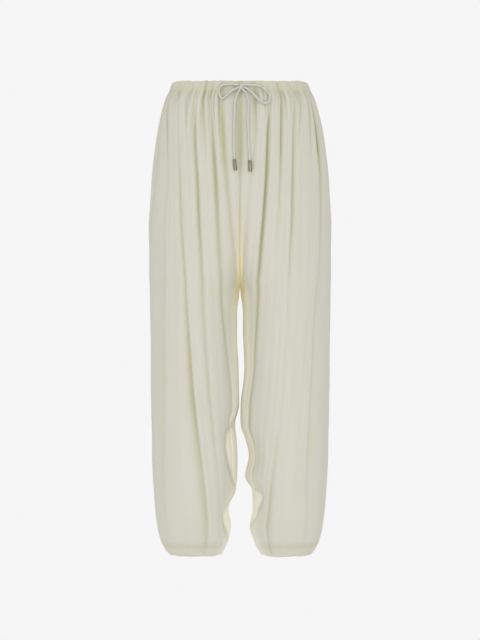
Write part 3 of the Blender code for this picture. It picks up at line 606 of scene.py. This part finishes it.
def panel_surface(panel, drops, cloth):
    """The outer side of a panel: its points, the ways out from them, their places on the flat cloth and the
    shares from 0 to 1 of painted shade and painted light on it there."""
    columns = grid_columns(panel, cloth.column_spacing)
    turns, depths = fold_lines(panel, drops)
    places = turns[:, columns.span] * (1 - columns.share) + turns[:, columns.span + 1] * columns.share
    lift = SEAM_DEPTH * section_values("gather", drops)[:, None]
    falls = fold_falls(depths, columns, cloth.fold_round)
    shaped = fold_falls(eased(turns, depths, drops), columns, cloth.fold_round)
    seams = np.minimum(columns.flat, columns.flat[-1] - columns.flat)
    away = np.clip(seams / CALM_WIDTH, 0, 1)
    gathered = gathers(panel, columns, drops) * away
    fine = crinkles(panel, columns, drops, cloth.crinkle_depth) * away
    points, ways_out, behind = on_the_body(
        panel, places, drops, lift - shaped + fine - cloth.gather_depth * gathered
    )
    points += ways_out * puckers(points, drops, cloth)[..., None]
    flat = np.stack(np.broadcast_arrays(columns.flat[None, :], -drops[:, None]), axis=2)
    across = np.abs(points[..., 0])
    # Painted light beside the inner leg seams and behind the notches' edges, and painted warm light along the
    # seams
    glow = np.maximum(beside_inner_edge(panel, across, drops, GLOW_DROPS, GLOW, GLOW_WIDTHS), behind)
    warm = beside_inner_edge(panel, across, drops, WARM_DROPS, WARM, WARM_WIDTHS)
    # Painted shade in the valleys, the crowded cloth and the fine gathers
    crowded_shade = smooth_between(drops, CROWDED_SHADE_DROPS, CROWDED_SHADE)[:, None]
    valley = np.clip(falls / VALLEY_SHADE_DEPTH, 0, 1) ** VALLEY_SHADE_POWER + crowded_shade + GATHER_SHADE * gathered
    slit = np.zeros(valley.shape)
    # On the left panels, painted shade in the pocket mouth and in its slit
    if panel.side > 0:
        to_seam = columns.flat[-1] - columns.flat
        mouth = smooth_between(drops, POCKET_DROPS, POCKET_SHADE)[:, None]
        valley += mouth * np.exp(-(to_seam / POCKET_WIDTH) ** 2)
        dark = smooth_between(drops, SLIT_DROPS, SLIT_SHADE)[:, None]
        slit += dark * np.exp(-((to_seam - SLIT_PLACE) / SLIT_WIDTH) ** 2)
    return Surface(points, ways_out, flat, np.clip(valley, 0, 1), slit, glow, warm)


# Making meshes

def link(name, data, material):
    piece = bpy.data.objects.new(name, data)
    piece.data.materials.append(material)
    bpy.context.scene.collection.objects.link(piece)
    return piece


def mesh_of(name, form):
    mesh = bpy.data.meshes.new(name)
    form.to_mesh(mesh)
    form.free()
    return mesh


EDGE_ANGLE = math.radians(60)
SAME_PLACE = 0.00001


def grid_piece(name, surface, material, closed=False):
    """A grid moved onto a surface's points, with its places on the flat cloth as its UV map. A closed one has
    its last column and row joined to the first."""
    points, ways_out, flat = surface.points, surface.ways_out, surface.flat
    rows, columns = points.shape[:2]
    form = bmesh.new()
    bmesh.ops.create_grid(form, x_segments=columns - 1, y_segments=rows - 1, size=0.5)
    mesh = mesh_of(name, form)
    start = np.zeros(len(mesh.vertices) * 3, np.float32)
    mesh.vertices.foreach_get("co", start)
    start = start.reshape(-1, 3)
    column_of = np.rint((start[:, 0] + 0.5) * (columns - 1)).astype(int)
    row_of = np.rint((start[:, 1] + 0.5) * (rows - 1)).astype(int)
    mesh.vertices.foreach_set("co", points[row_of, column_of].astype(np.float32).ravel())
    corner = np.zeros(len(mesh.loops), np.int32)
    mesh.loops.foreach_get("vertex_index", corner)
    places = flat[row_of, column_of][corner]
    mesh.uv_layers.new(name="flat_cloth").data.foreach_set("uv", places.astype(np.float32).ravel())
    # The shares of painted shade and painted light, as attributes
    for kind in PAINTED_LIGHT_AND_SHADE:
        shares = getattr(surface, kind)[row_of, column_of].astype(np.float32)
        mesh.attributes.new(kind, "FLOAT", "POINT").data.foreach_set("value", shares.ravel())
    mesh.update()
    normals = np.zeros(len(mesh.vertices) * 3, np.float32)
    mesh.vertices.foreach_get("normal", normals)
    if (normals.reshape(-1, 3) * ways_out[row_of, column_of]).sum() < 0:
        mesh.flip_normals()
    if closed:
        form = bmesh.new()
        form.from_mesh(mesh)
        bmesh.ops.remove_doubles(form, verts=form.verts, dist=SAME_PLACE)
        form.to_mesh(mesh)
        form.free()
    mesh.shade_smooth()
    mesh.set_sharp_from_angle(angle=EDGE_ANGLE)
    return link(name, mesh, material)


def thicken(piece, wall):
    """Gives a surface its wall, on its inner side, as plain mesh."""
    solidify = piece.modifiers.new("wall", "SOLIDIFY")
    solidify.thickness = wall
    solidify.offset = -1.0
    bpy.context.view_layer.objects.active = piece
    bpy.ops.object.modifier_apply(modifier=solidify.name)
    piece.data.set_sharp_from_angle(angle=EDGE_ANGLE)


# Materials

def new_material(name):
    material = bpy.data.materials.new(name)
    material.use_nodes = True
    return material, material.node_tree, material.node_tree.nodes["Principled BSDF"]


def fill(tree, node, inputs):
    """Gives each of a node's inputs its value, or links it to the output of another node."""
    for place, given in inputs.items():
        if isinstance(given, bpy.types.NodeSocket):
            tree.links.new(given, node.inputs[place])
        else:
            node.inputs[place].default_value = given


def add_node(tree, kind, output, inputs, **settings):
    """Adds a node with its inputs and settings, and returns the output that is asked for."""
    node = tree.nodes.new(kind)
    for name, value in settings.items():
        setattr(node, name, value)
    fill(tree, node, inputs)
    return node.outputs[output]


def own_place(tree):
    """The coordinates of an object without a UV map."""
    return add_node(tree, "ShaderNodeTexCoord", "Object", {})


def noise_node(tree, place, scale, detail):
    """Noise on the given coordinates, stretched by scale, which has a number for each axis."""
    mapped = add_node(tree, "ShaderNodeMapping", "Vector", {"Vector": place, "Scale": scale})
    return add_node(tree, "ShaderNodeTexNoise", "Fac", {"Vector": mapped, "Scale": 1.0, "Detail": detail})


def band_node(tree, place, direction, scale):
    """Even bands across one axis of the given coordinates, such as the threads of a weave."""
    inputs = {"Vector": place, "Scale": scale, "Distortion": 0.6}
    return add_node(tree, "ShaderNodeTexWave", "Fac", inputs, bands_direction=direction)


def math_node(tree, operation, first, second):
    return add_node(tree, "ShaderNodeMath", "Value", {0: first, 1: second}, operation=operation)


def bump_node(tree, height, distance, strength):
    inputs = {"Height": height, "Distance": distance, "Strength": strength}
    return add_node(tree, "ShaderNodeBump", "Normal", inputs)


def two_tones(tree, share, light, dark_shares):
    """A colour that varies between the given one and a darker one, which has dark_shares of its channels."""
    ramp = tree.nodes.new("ShaderNodeValToRGB")
    dark = np.multiply(light, dark_shares)
    for element, position, tone in zip(ramp.color_ramp.elements, (0.3, 0.7), (dark, light)):
        element.position = position
        element.color = (*tone, 1.0)
    fill(tree, ramp, {"Fac": share})
    return ramp.outputs["Color"]


def with_painted_tone(tree, kind, colour, painted_tone):
    """A colour blended into a painted tone, painted shade for valley and slit and painted light for glow and
    warm, by the share from 0 to 1 that the mesh holds at each point. A mix node's inputs 6 and 7 and its
    output 2 are colours."""
    share = add_node(tree, "ShaderNodeAttribute", "Fac", {}, attribute_name=kind)
    return add_node(tree, "ShaderNodeMix", 2, {0: share, 6: colour, 7: (*painted_tone, 1.0)}, data_type="RGBA")


def cloth_material(name, cloth):
    """Soft woven ivory cloth, thin enough to let light through, with painted shade, darker and yellower, in
    its valleys, gathers, crowded edges and pocket mouth, and painted light, lighter and yellower, where light
    comes through it."""
    material, tree, shader = new_material(name)
    place = add_node(tree, "ShaderNodeUVMap", "UV", {}, uv_map="flat_cloth")
    warp = band_node(tree, place, "X", 420.0)
    weft = band_node(tree, place, "Y", 380.0)
    weave = math_node(tree, "MULTIPLY", warp, weft)
    slubs = noise_node(tree, place, (900.0, 45.0, 1.0), 3.0)
    relief = math_node(tree, "ADD", weave, slubs)
    normal = bump_node(tree, relief, 0.00012, 0.5)
    tone = noise_node(tree, place, (60.0, 9.0, 1.0), 4.0)
    colour = two_tones(tree, tone, cloth.colour, (0.975, 0.970, 0.91))
    # Paints shade in the valleys and the pocket slit, and light beside the seams
    for kind in PAINTED_LIGHT_AND_SHADE:
        colour = with_painted_tone(tree, kind, colour, getattr(cloth, kind + "_colour"))
    fill(tree, shader, {
        "Base Color": colour, "Normal": normal, "Roughness": 0.72, "Specular IOR Level": 0.25,
        "Sheen Weight": 0.12, "Sheen Roughness": 0.5,
    })
    light = (*cloth.light_through, 1.0)
    through = add_node(tree, "ShaderNodeBsdfTranslucent", "BSDF", {"Color": light, "Normal": normal})
    layers = {"Fac": cloth.thinness, 1: shader.outputs["BSDF"], 2: through}
    mixed = add_node(tree, "ShaderNodeMixShader", "Shader", layers)
    fill(tree, tree.nodes["Material Output"], {"Surface": mixed})
    return material


def cord_material(name, colour):
    """Ivory cord of fine braided thread."""
    material, tree, shader = new_material(name)
    place = own_place(tree)
    braid = band_node(tree, place, "DIAGONAL", 450.0)
    fuzz = noise_node(tree, place, (1500.0, 1500.0, 1500.0), 2.0)
    fill(tree, shader, {
        "Normal": bump_node(tree, math_node(tree, "ADD", braid, fuzz), 0.0003, 0.6),
        "Base Color": two_tones(tree, braid, colour, (0.93, 0.93, 0.92)),
        "Roughness": 0.6,
        "Sheen Weight": 0.2,
    })
    return material


def thread_material(name, colour):
    material, tree, shader = new_material(name)
    ply = noise_node(tree, own_place(tree), (2500.0, 2500.0, 2500.0), 1.0)
    fill(tree, shader, {"Base Color": two_tones(tree, ply, colour, (0.9, 0.9, 0.9)), "Roughness": 0.6})
    return material


def metal_material(name, colour):
    """Dull metal, brushed along its length."""
    material, tree, shader = new_material(name)
    place = own_place(tree)
    brushed = noise_node(tree, place, (3000.0, 3000.0, 90.0), 3.0)
    worn = noise_node(tree, place, (240.0, 240.0, 120.0), 2.0)
    gloss = {"Value": brushed, "To Min": 0.34, "To Max": 0.52}
    fill(tree, shader, {
        "Normal": bump_node(tree, brushed, 0.00004, 0.6),
        "Base Color": two_tones(tree, worn, colour, (0.8, 0.8, 0.8)),
        "Roughness": add_node(tree, "ShaderNodeMapRange", "Result", gloss),
        "Metallic": 1.0,
    })
    return material


def shared_material(name, make, *facts):
    return bpy.data.materials.get(name) or make(name, *facts)


# Cloth pieces

# The rows of a panel's grid lie closest at the waist and at the bunched ankles
ROW_DROPS = (CASING_BOTTOM + JOINT_GAP, 0.120, 0.660, 0.860, 0.970, HEM_TOP - JOINT_GAP)
ROW_COUNTS = (0, 24, 74, 100, 130, 137)


class TROUSERS_OT_leg_panels(bpy.types.Operator):
    """Make the four leg panels with their folds, gathers and crinkles"""

    bl_idname = "trousers.leg_panels"
    bl_label = "Leg panels"

    def execute(self, context):
        cloth = context.scene.trousers_cloth
        material = shared_material("ivory_cloth", cloth_material, cloth)
        drops = np.interp(np.arange(ROW_COUNTS[-1] + 1), ROW_COUNTS, ROW_DROPS)
        for panel in PANELS:
            piece = grid_piece(panel.name + "_cloth", panel_surface(panel, drops, cloth), material)
            thicken(piece, cloth.wall)
            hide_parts(panel.name)
            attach(piece, "root")
        return {"FINISHED"}


def ring_surface(parts, drops, cloth):
    """The panels' surfaces joined into a ring. Each part is a panel and whether it runs backwards."""
    rings, start = [], 0.0
    for panel, backwards in parts:
        surface = panel_surface(panel, drops, cloth)
        flat = surface.flat.copy()
        width = flat[0, -1, 0]
        flat[..., 0] = start + (width - flat[..., 0] if backwards else flat[..., 0])
        start += width
        order = slice(None, 0, -1) if backwards else slice(0, -1)
        rings.append([values[:, order] for values in surface._replace(flat=flat)])
    joined = [np.concatenate(kind, axis=1) for kind in zip(*rings)]
    return Surface(*[np.concatenate([ring, ring[:, :1]], axis=1) for ring in joined])


# The panels that a ring of cloth goes through, and whether it runs backwards through each
WAIST_RING = [(LEFT_FRONT, False), (LEFT_BACK, True), (RIGHT_BACK, False), (RIGHT_FRONT, True)]
HEM_RINGS = {
    "right_hem_band": [(RIGHT_FRONT, False), (RIGHT_BACK, True)],
    "left_hem_band": [(LEFT_FRONT, False), (LEFT_BACK, True)],
}

# A band's section from its free edge down the outer side, round and up the inner side. Heights run from 1 at
# the free edge to -1 at the edge that meets the panels, and insets are shares of the wall.
BAND_HEIGHTS = (1.0, 0.99, 0.96, 0.90, 0.80, 0.6, 0.3, 0.0, -0.3, -0.6, -0.8, -0.92, -0.98, -1.0,
                -1.0, -0.95, -0.75, -0.3, 0.3, 0.8, 0.93, 0.99, 1.0)
BAND_INSETS = (0.5, 0.25, 0.10, 0.02, 0.0, 0.0, 0.0, 0.0, 0.0, 0.0, 0.0, 0.0, 0.005, 0.02,
               0.30, 0.50, 0.90, 1.0, 1.0, 1.0, 0.92, 0.75, 0.5)

# How high the scallops of a band's free edge are, and between which distances from the middle it may dip
SCALLOP = 0.0012
DIP_START = 0.128
DIP_END = 0.150


def band_piece(name, parts, free, joined, cloth, material, wall, puff=0.0, dip=0.0):
    """A folded band of cloth round an opening, round at its free edge and flush where it meets the panels.
    free and joined are the drops of its two edges, wall its thickness, puff how far it swells between them
    and dip how far the free edge comes down at the sides."""
    height, inset = np.array(BAND_HEIGHTS), np.array(BAND_INSETS)
    drops = (free + joined) / 2 + (free - joined) / 2 * height
    surface = ring_surface(parts, drops, cloth)
    points, flat = surface.points, surface.flat
    inward = wall * inset - puff * (1 - height ** 2)
    points = points - inward[:, None, None] * surface.ways_out
    around = np.arctan2(points[..., 1], points[..., 0])
    bumps = noise_line(around * 13 + 60, 0, 7)
    to_side = np.clip((np.abs(points[..., 0]) - DIP_START) / (DIP_END - DIP_START), 0, 1)
    points[..., 2] += np.clip(height, 0, 1)[:, None] * (SCALLOP * bumps - dip * to_side ** 2)
    points[-1], flat = points[0], flat - [0, free]
    return grid_piece(name, surface._replace(points=points, flat=flat), material, closed=True)


class TROUSERS_OT_waist_casing(bpy.types.Operator):
    """Make the gathered waist casing that the drawstring runs in"""

    bl_idname = "trousers.waist_casing"
    bl_label = "Waist casing"

    def execute(self, context):
        cloth = context.scene.trousers_cloth
        material = shared_material("ivory_cloth", cloth_material, cloth)
        piece = band_piece(
            "waist_casing_cloth", WAIST_RING, -CASING_TOP, CASING_BOTTOM, cloth, material,
            wall=0.0028, puff=0.0007, dip=0.0050,
        )
        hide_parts("waist_casing")
        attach(piece, "root")
        return {"FINISHED"}


class TROUSERS_OT_hem_bands(bpy.types.Operator):
    """Make the two bands that the legs are gathered into"""

    bl_idname = "trousers.hem_bands"
    bl_label = "Hem bands"

    def execute(self, context):
        cloth = context.scene.trousers_cloth
        material = shared_material("ivory_cloth", cloth_material, cloth)
        for name, parts in HEM_RINGS.items():
            piece = band_piece(name + "_cloth", parts, HEM_BOTTOM, HEM_TOP, cloth, material, wall=0.0024)
            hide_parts(name)
            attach(piece, "root")
        return {"FINISHED"}


# The stitches' middles lie this share of the thread outside the cloth
STITCH_LIFT = 0.2
StitchRow = namedtuple("StitchRow", "name ring drop")
STITCH_ROWS = [
    StitchRow("waist_stitching", WAIST_RING, 0.0085),
    StitchRow("right_hem_stitching", HEM_RINGS["right_hem_band"], 1.0125),
    StitchRow("left_hem_stitching", HEM_RINGS["left_hem_band"], 1.0125),
]


class TROUSERS_OT_stitching(bpy.types.Operator):
    """Sew the rows of stitches on the casing and the hem bands"""

    bl_idname = "trousers.stitching"
    bl_label = "Stitching"

    def execute(self, context):
        cloth, stitches = context.scene.trousers_cloth, context.scene.trousers_stitches
        material = thread_material("thread", stitches.colour)
        for row in STITCH_ROWS:
            surface = ring_surface(row.ring, np.array([row.drop]), cloth)
            form = bmesh.new()
            sew(form, surface.points[0] + surface.ways_out[0] * stitches.thread * STITCH_LIFT, stitches)
            mesh = mesh_of(row.name, form)
            mesh.shade_smooth()
            piece = link(row.name, mesh, material)
            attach(piece, "root")
        return {"FINISHED"}


def lengths_along(path):
    """How far each point of a path lies along it."""
    return np.concatenate([[0], np.cumsum(np.linalg.norm(np.diff(path, axis=0), axis=1))])


def sew(form, path, stitches):
    """Adds a row of small rounded stitches along a path."""
    along = lengths_along(path)
    count = int(along[-1] / (stitches.length + stitches.gap))
    for number in range(count):
        middle = (number + 0.5) / count * along[-1]
        ends = [middle - stitches.length / 2, middle + stitches.length / 2]
        start, end = (Vector([np.interp(at, along, path[:, axis]) for axis in range(3)]) for at in ends)
        turn = (end - start).to_track_quat("Z", "X").to_matrix().to_4x4()
        size = Matrix.Diagonal((stitches.thread / 2, stitches.thread / 2, stitches.length / 2, 1.0))
        place = Matrix.Translation((start + end) / 2) @ turn @ size
        bmesh.ops.create_uvsphere(form, u_segments=6, v_segments=4, radius=1.0, matrix=place)


# The drawstring

# How far apart a cord's points lie, how many samples each stretch of its route has before that, and how far
# the cord reaches into the knot and into a metal end
CORD_STEP = 0.0015
ROUTE_SAMPLES = 24
INTO_KNOT = 0.0030
INTO_TIP = 0.0020

# The wraps round the knot: their whole width, their reach out and their reach up from its middle, the cord's
# share of its full thickness there, and the number of its points
KNOT_SPREAD = (0.0070, 0.0021, 0.0040)
KNOT_THICKNESS = 0.96
KNOT_SAMPLES = 48


def smooth_route(route, step):
    """Evenly spaced points on a smooth curve (Catmull-Rom) through the route's own points."""
    route = [Vector(point) for point in route]
    route = [2 * route[0] - route[1], *route, 2 * route[-1] - route[-2]]
    fine = []
    for i in range(1, len(route) - 2):
        before, start, end, after = route[i - 1: i + 3]
        for t in np.linspace(0, 1, ROUTE_SAMPLES, endpoint=False):
            bend = 2 * before - 5 * start + 4 * end - after
            twist = 3 * start - before - 3 * end + after
            fine.append((2 * start + (end - before) * t + bend * t * t + twist * t ** 3) / 2)
    fine = np.array([*fine, route[-2]])
    along = lengths_along(fine)
    even = np.linspace(0, along[-1], max(2, round(along[-1] / step) + 1))
    return np.stack([np.interp(even, along, fine[:, axis]) for axis in range(3)], axis=1)


def cord_curve(name, points, diameter, material):
    curve = bpy.data.curves.new(name, "CURVE")
    curve.dimensions = "3D"
    curve.bevel_depth = diameter / 2
    curve.bevel_resolution = 4
    curve.use_fill_caps = True
    spline = curve.splines.new("POLY")
    spline.points.add(len(points) - 1)
    for spline_point, point in zip(spline.points, points):
        spline_point.co = (*point, 1.0)
    return link(name, curve, material)


TIP_EDGE_ANGLE = math.radians(40)


class TROUSERS_OT_metal_ends(bpy.types.Operator):
    """Make the two metal ends of the drawstring"""

    bl_idname = "trousers.metal_ends"
    bl_label = "Metal ends"

    def execute(self, context):
        cord = context.scene.trousers_cord
        material = metal_material("brushed_metal", cord.tip_colour)
        for name, (tail, direction) in TIP_DIRECTIONS.items():
            low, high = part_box(name)
            direction = Vector(direction).normalized()
            turn = direction.to_track_quat("-Z", "Y").to_matrix().to_4x4()
            form = turned_end(cord.tip_diameter / 2, cord.tip_length, cord.diameter / 2)
            bmesh.ops.transform(form, matrix=Matrix.Translation((low + high) / 2) @ turn, verts=form.verts)
            mesh = mesh_of(name, form)
            mesh.shade_smooth()
            mesh.set_sharp_from_angle(angle=TIP_EDGE_ANGLE)
            piece = link(name + "_metal", mesh, material)
            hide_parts(name)
            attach(piece, "root")
        return {"FINISHED"}


def turned_end(radius, length, bore):
    """A turned metal end round a cord: a rim, a crimped groove, a straight barrel and a softly rounded foot.
    The profile goes from the bore's floor over the rim and down the outside to the foot."""
    top, foot = length / 2, -length / 2
    edge, groove = 0.0006, 0.0004
    profile = [
        (0.0, top - 0.0020), (bore + 0.0002, top - 0.0020), (bore + 0.0002, top - 0.0003),
        (bore + 0.0005, top), (radius - edge, top), (radius - edge / 3, top - edge / 4), (radius, top - edge),
        (radius, top - 0.0024), (radius - groove, top - 0.0028), (radius - groove, top - 0.0034),
        (radius, top - 0.0038), (radius, foot + edge), (radius - edge / 3, foot + edge / 4),
        (radius - edge, foot), (radius * 0.5, foot - 0.0001), (0.0, foot - 0.0001),
    ]
    form = bmesh.new()
    line = [form.verts.new((across, 0.0, up)) for across, up in profile]
    edges = [form.edges.new(pair) for pair in zip(line, line[1:])]
    bmesh.ops.spin(
        form, geom=line + edges, axis=(0, 0, 1), cent=(0, 0, 0), steps=40, angle=math.tau, use_merge=True
    )
    bmesh.ops.remove_doubles(form, verts=form.verts, dist=0.000001)
    bmesh.ops.recalc_face_normals(form, faces=form.faces)
    return form


class TROUSERS_OT_drawstring(bpy.types.Operator):
    """Tie the drawstring's bow, with its knot, two loops and two hanging tails"""

    bl_idname = "trousers.drawstring"
    bl_label = "Drawstring"

    def execute(self, context):
        cord = context.scene.trousers_cord
        material = cord_material("ivory_cord", cord.colour)
        knot = cord_curve("knot_cord", knot_route(cord), cord.diameter * KNOT_THICKNESS, material)
        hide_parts("drawstring_knot")
        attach(knot, "root")
        for name, route in CORD_ROUTES.items():
            hangs = name.endswith("tail")
            points = smooth_route(into_knot(route, hangs), CORD_STEP)
            piece = cord_curve(name + "_cord", points, cord.diameter, material)
            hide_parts(name)
            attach(piece, "root")
        return {"FINISHED"}


def into_knot(route, hangs):
    """The route with its ends drawn a little way into the knot, or into the metal end of a tail."""
    route = [Vector(point) for point in route]
    start = route[0] + INTO_KNOT * (Vector(KNOT_CENTRE) - route[0]).normalized()
    if hangs:
        end = route[-1] + INTO_TIP * (route[-1] - route[-2]).normalized()
    else:
        end = route[-1] + INTO_KNOT * (Vector(KNOT_CENTRE) - route[-1]).normalized()
    return [start, *route, end]


def knot_route(cord):
    """The cord's wraps round the knot, from the back across the front and out of sight again."""
    share = np.linspace(0, 1, KNOT_SAMPLES)
    turn = math.tau * cord.knot_turns * share + math.pi / 2
    wraps = np.stack([share - 0.5, np.sin(turn), np.cos(turn)], axis=1)
    return np.array(KNOT_CENTRE) + wraps * KNOT_SPREAD


# The studio

class TROUSERS_OT_studio(bpy.types.Operator):
    """Set up the pale floor, the soft lights and the camera"""

    bl_idname = "trousers.studio"
    bl_label = "Studio"

    def execute(self, context):
        scene, studio = context.scene, context.scene.trousers_studio
        make_floor(studio)
        make_room(scene, studio)
        make_light("key", (-1.6, -3.2, 1.0), 2.4, studio.key_power)
        make_light("fill", (2.2, -2.8, 0.2), 2.4, studio.key_power * 0.5)
        make_light("low", (0.0, -2.8, -1.0), 0.5, studio.low_power)
        make_light("back", (0.0, 2.6, -0.9), 1.2, studio.back_power)
        make_camera(scene, studio)
        scene.view_settings.view_transform = "Standard"
        return {"FINISHED"}


FLOOR_HEIGHT = -1.30
FLOOR_RADIUS = 12.0
LOOK_AT = Vector((0.0, 0.0, -0.50))

# The photo is 640 pixels high, and 452.4 of its pixels are one metre at the waist line's depth
PHOTO_HEIGHT = 640
PIXELS_PER_METRE = 452.4
SENSOR_WIDTH = 36.0


def make_floor(studio):
    form = bmesh.new()
    down = Matrix.Translation((0, 0, FLOOR_HEIGHT))
    bmesh.ops.create_circle(form, cap_ends=True, segments=96, radius=FLOOR_RADIUS, matrix=down)
    mesh = mesh_of("floor", form)
    material, tree, _ = new_material("pale_floor")
    glow = add_node(tree, "ShaderNodeEmission", "Emission", {"Color": (*studio.backdrop, 1.0)})
    fill(tree, tree.nodes["Material Output"], {"Surface": glow})
    link("floor", mesh, material)


def make_room(scene, studio):
    world = bpy.data.worlds.new("white_room")
    world.use_nodes = True
    fill(world.node_tree, world.node_tree.nodes["Background"], {"Color": (*studio.backdrop, 1.0)})
    scene.world = world


def make_light(name, place, size, power):
    light = bpy.data.lights.new(name, "AREA")
    light.energy = power
    light.size = size
    lamp = bpy.data.objects.new(name, light)
    lamp.visible_camera = False
    lamp.location = place
    lamp.rotation_euler = (LOOK_AT - Vector(place)).to_track_quat("-Z", "Y").to_euler()
    bpy.context.scene.collection.objects.link(lamp)


def make_camera(scene, studio):
    """The photo's view: the camera's sensor takes in the photo's height at the waist line's depth."""
    camera = bpy.data.cameras.new("camera")
    camera.sensor_width = SENSOR_WIDTH
    camera.lens = SENSOR_WIDTH / 2 / (PHOTO_HEIGHT / 2 / PIXELS_PER_METRE / studio.distance)
    view = bpy.data.objects.new("camera", camera)
    view.location = (0.0, -studio.distance, studio.height)
    view.rotation_euler = (math.pi / 2, 0.0, 0.0)
    scene.collection.objects.link(view)
    scene.camera = view


class TROUSERS_PT_sidebar(bpy.types.Panel):
    """Lists the trousers' settings and the steps that make them"""

    bl_idname = "TROUSERS_PT_sidebar"
    bl_label = "Drawstring trousers"
    bl_space_type = "VIEW_3D"
    bl_region_type = "UI"
    bl_category = "Trousers"

    def draw(self, context):
        for settings in SETTINGS:
            box = self.layout.box()
            for name in settings.kind.__annotations__:
                box.prop(getattr(context.scene, settings.name), name)
        for operator in OPERATORS:
            self.layout.operator(operator.bl_idname)


Settings = namedtuple("Settings", "name kind")
SETTINGS = (
    Settings("trousers_cloth", ClothSettings),
    Settings("trousers_stitches", StitchSettings),
    Settings("trousers_cord", DrawstringSettings),
    Settings("trousers_studio", StudioSettings),
)
OPERATORS = (
    TROUSERS_OT_leg_panels,
    TROUSERS_OT_waist_casing,
    TROUSERS_OT_hem_bands,
    TROUSERS_OT_stitching,
    TROUSERS_OT_metal_ends,
    TROUSERS_OT_drawstring,
    TROUSERS_OT_studio,
)


def register():
    for settings in SETTINGS:
        bpy.utils.register_class(settings.kind)
        setattr(bpy.types.Scene, settings.name, PointerProperty(type=settings.kind))
    for made in (*OPERATORS, TROUSERS_PT_sidebar):
        bpy.utils.register_class(made)


def unregister():
    for made in reversed((*OPERATORS, TROUSERS_PT_sidebar)):
        bpy.utils.unregister_class(made)
    for settings in reversed(SETTINGS):
        delattr(bpy.types.Scene, settings.name)
        bpy.utils.unregister_class(settings.kind)


def main():
    register()
    bpy.ops.trousers.leg_panels()
    bpy.ops.trousers.waist_casing()
    bpy.ops.trousers.hem_bands()
    bpy.ops.trousers.stitching()
    bpy.ops.trousers.metal_ends()
    bpy.ops.trousers.drawstring()
    bpy.ops.trousers.studio()


if __name__ == "__main__":
    main()
